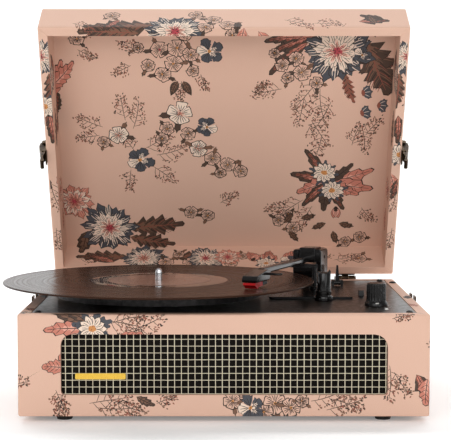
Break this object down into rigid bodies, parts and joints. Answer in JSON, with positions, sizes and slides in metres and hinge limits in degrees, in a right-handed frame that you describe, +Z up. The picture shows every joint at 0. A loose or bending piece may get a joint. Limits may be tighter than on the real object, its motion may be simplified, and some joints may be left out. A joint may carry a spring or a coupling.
{
  "type": "suitcase record player",
  "caption": "Suitcase record player: wrapped case with hinged open lid, belt-driven platter with a record on it, tonearm, deck controls, front grille and rear sockets.",
  "frame": {"origin": "middle of the whole object's footprint as it stands with its lid open and a record on, at the surface under its feet", "axes": "+X to the right seen from the front, +Y from the grille to the hinges, +Z up"},
  "size_m": [0.407, 0.3601, 0.3825],
  "materials": {
    "wrap": "matt printed leatherette over board",
    "panel_board": "bare fibreboard",
    "deck": "satin black moulded plate",
    "rubber": "matt black rubber",
    "black_plastic": "satin black moulded plastic",
    "grille_cloth": "black woven cloth with a raised cream check",
    "gold_trim": "plain gold-coloured bar",
    "speaker_steel": "plain zinc-plated steel",
    "platter_metal": "black-painted platter",
    "paper_cone": "black treated paper",
    "chrome": "polished chrome",
    "circuit": "green lacquered board",
    "bronze": "antique bronze plating, worn at the edges",
    "felt": "black felt",
    "vinyl": "glossy black pressed vinyl with fine grooves",
    "stylus_red": "glossy red moulding"
  },
  "bodies": {
    "case": {"case_body": "wrap", "bottom_panel": "panel_board", "speaker_baffle": "panel_board", "deck_plate": "deck", "foot_front_left": "rubber", "foot_front_right": "rubber", "foot_rear_left": "rubber", "foot_rear_right": "rubber", "rim_bumper_left": "rubber", "rim_bumper_right": "rubber", "drive_belt": "rubber", "deck_screw_1": "black_plastic", "deck_screw_2": "black_plastic", "deck_screw_3": "black_plastic", "deck_screw_4": "black_plastic", "arm_plate": "black_plastic", "arm_rest": "black_plastic", "jack_panel": "black_plastic", "line_out_block": "black_plastic", "power_inlet": "black_plastic", "grille_cloth": "grille_cloth", "badge_bar": "gold_trim", "speaker_frame_left": "speaker_steel", "speaker_frame_right": "speaker_steel", "motor": "speaker_steel", "volume_pot": "speaker_steel", "speaker_cone_left": "paper_cone", "speaker_cone_right": "paper_cone", "spindle": "chrome", "circuit_board": "circuit", "base_hinge_leaf_left": "bronze", "base_hinge_leaf_right": "bronze", "hinge_pin_left": "bronze", "hinge_pin_right": "bronze", "base_catch_left": "bronze", "base_catch_right": "bronze", "handle_bracket_left": "bronze", "handle_bracket_right": "bronze"},
    "lid": {"lid_shell": "wrap", "lid_hinge_leaf_left": "bronze", "lid_hinge_leaf_right": "bronze", "latch_plate_left": "bronze", "latch_plate_right": "bronze"},
    "latch_lever_left": {"latch_lever_left": "bronze"},
    "latch_lever_right": {"latch_lever_right": "bronze"},
    "platter": {"platter": "platter_metal", "slip_mat": "felt", "record": "vinyl"},
    "motor_pulley": {"motor_pulley": "speaker_steel"},
    "arm_yoke": {"arm_yoke": "black_plastic"},
    "tonearm": {"tonearm": "black_plastic", "cartridge": "black_plastic", "stylus": "stylus_red"},
    "cue_lever": {"cue_lever": "black_plastic"},
    "lift_bar": {"lift_bar": "black_plastic"},
    "volume_knob": {"volume_knob": "black_plastic"},
    "speed_lever": {"speed_lever": "black_plastic"},
    "autostop_slider": {"autostop_slider": "black_plastic"},
    "handle": {"handle": "black_plastic"}
  },
  "joints": [
    {"name": "lid_hinge", "type": "hinge", "parent": "case", "child": "lid", "pos_m": [0.01055, 0.14104, 0.099], "axis": [-1, 0, 0], "range_deg": [-47.5, 28.2]},
    {"name": "platter_spin", "type": "hinge", "parent": "case", "child": "platter", "pos_m": [-0.05275, -0.02956, 0.105], "axis": [0, 0, -1], "continuous": true},
    {"name": "motor_pulley_spin", "type": "hinge", "parent": "case", "child": "motor_pulley", "pos_m": [0.00414, 0.03823, 0.102], "axis": [0, 0, -1], "continuous": true},
    {"name": "arm_swing", "type": "hinge", "parent": "case", "child": "arm_yoke", "pos_m": [0.10005, 0.04854, 0.109], "axis": [0, 0, 1], "range_deg": [-21.5, 25.9]},
    {"name": "arm_lift", "type": "hinge", "parent": "arm_yoke", "child": "tonearm", "pos_m": [0.10005, 0.04854, 0.131], "axis": [-0.9259, 0.3778, 0], "range_deg": [0, 4]},
    {"name": "cue_lever_turn", "type": "hinge", "parent": "case", "child": "cue_lever", "pos_m": [0.12755, 0.05654, 0.103], "axis": [-1, 0, 0], "range_deg": [0, 70]},
    {"name": "lift_bar_rise", "type": "slide", "parent": "case", "child": "lift_bar", "axis": [0, 0, 1], "range_m": [0, 0.00225]},
    {"name": "volume_turn", "type": "hinge", "parent": "case", "child": "volume_knob", "pos_m": [0.15255, -0.09346, 0.108], "axis": [0, 0, -1], "range_deg": [0, 300]},
    {"name": "speed_slide", "type": "slide", "parent": "case", "child": "speed_lever", "axis": [0, 1, 0], "range_m": [-0.0055, 0.0055]},
    {"name": "autostop_slide", "type": "slide", "parent": "case", "child": "autostop_slider", "axis": [0, 1, 0], "range_m": [0, 0.005]},
    {"name": "latch_left_swing", "type": "hinge", "parent": "lid", "child": "latch_lever_left", "pos_m": [-0.17765, 0.08931, 0.24203], "axis": [0, 0.4726, -0.8813], "range_deg": [0, 75]},
    {"name": "latch_right_swing", "type": "hinge", "parent": "lid", "child": "latch_lever_right", "pos_m": [0.19875, 0.08931, 0.24203], "axis": [0, -0.4726, 0.8813], "range_deg": [0, 75]},
    {"name": "handle_swing", "type": "hinge", "parent": "case", "child": "handle", "pos_m": [0.01055, 0.14504, 0.07], "axis": [1, 0, 0], "range_deg": [0, 95]}
  ],
  "couplings": [
    {"joint": "motor_pulley_spin", "follows": "platter_spin", "ratio": 14.158},
    {"joint": "cue_lever_turn", "follows": "arm_lift", "ratio": 17.5},
    {"joint": "lift_bar_rise", "follows": "arm_lift", "m_per_rad": 0.032}
  ]
}
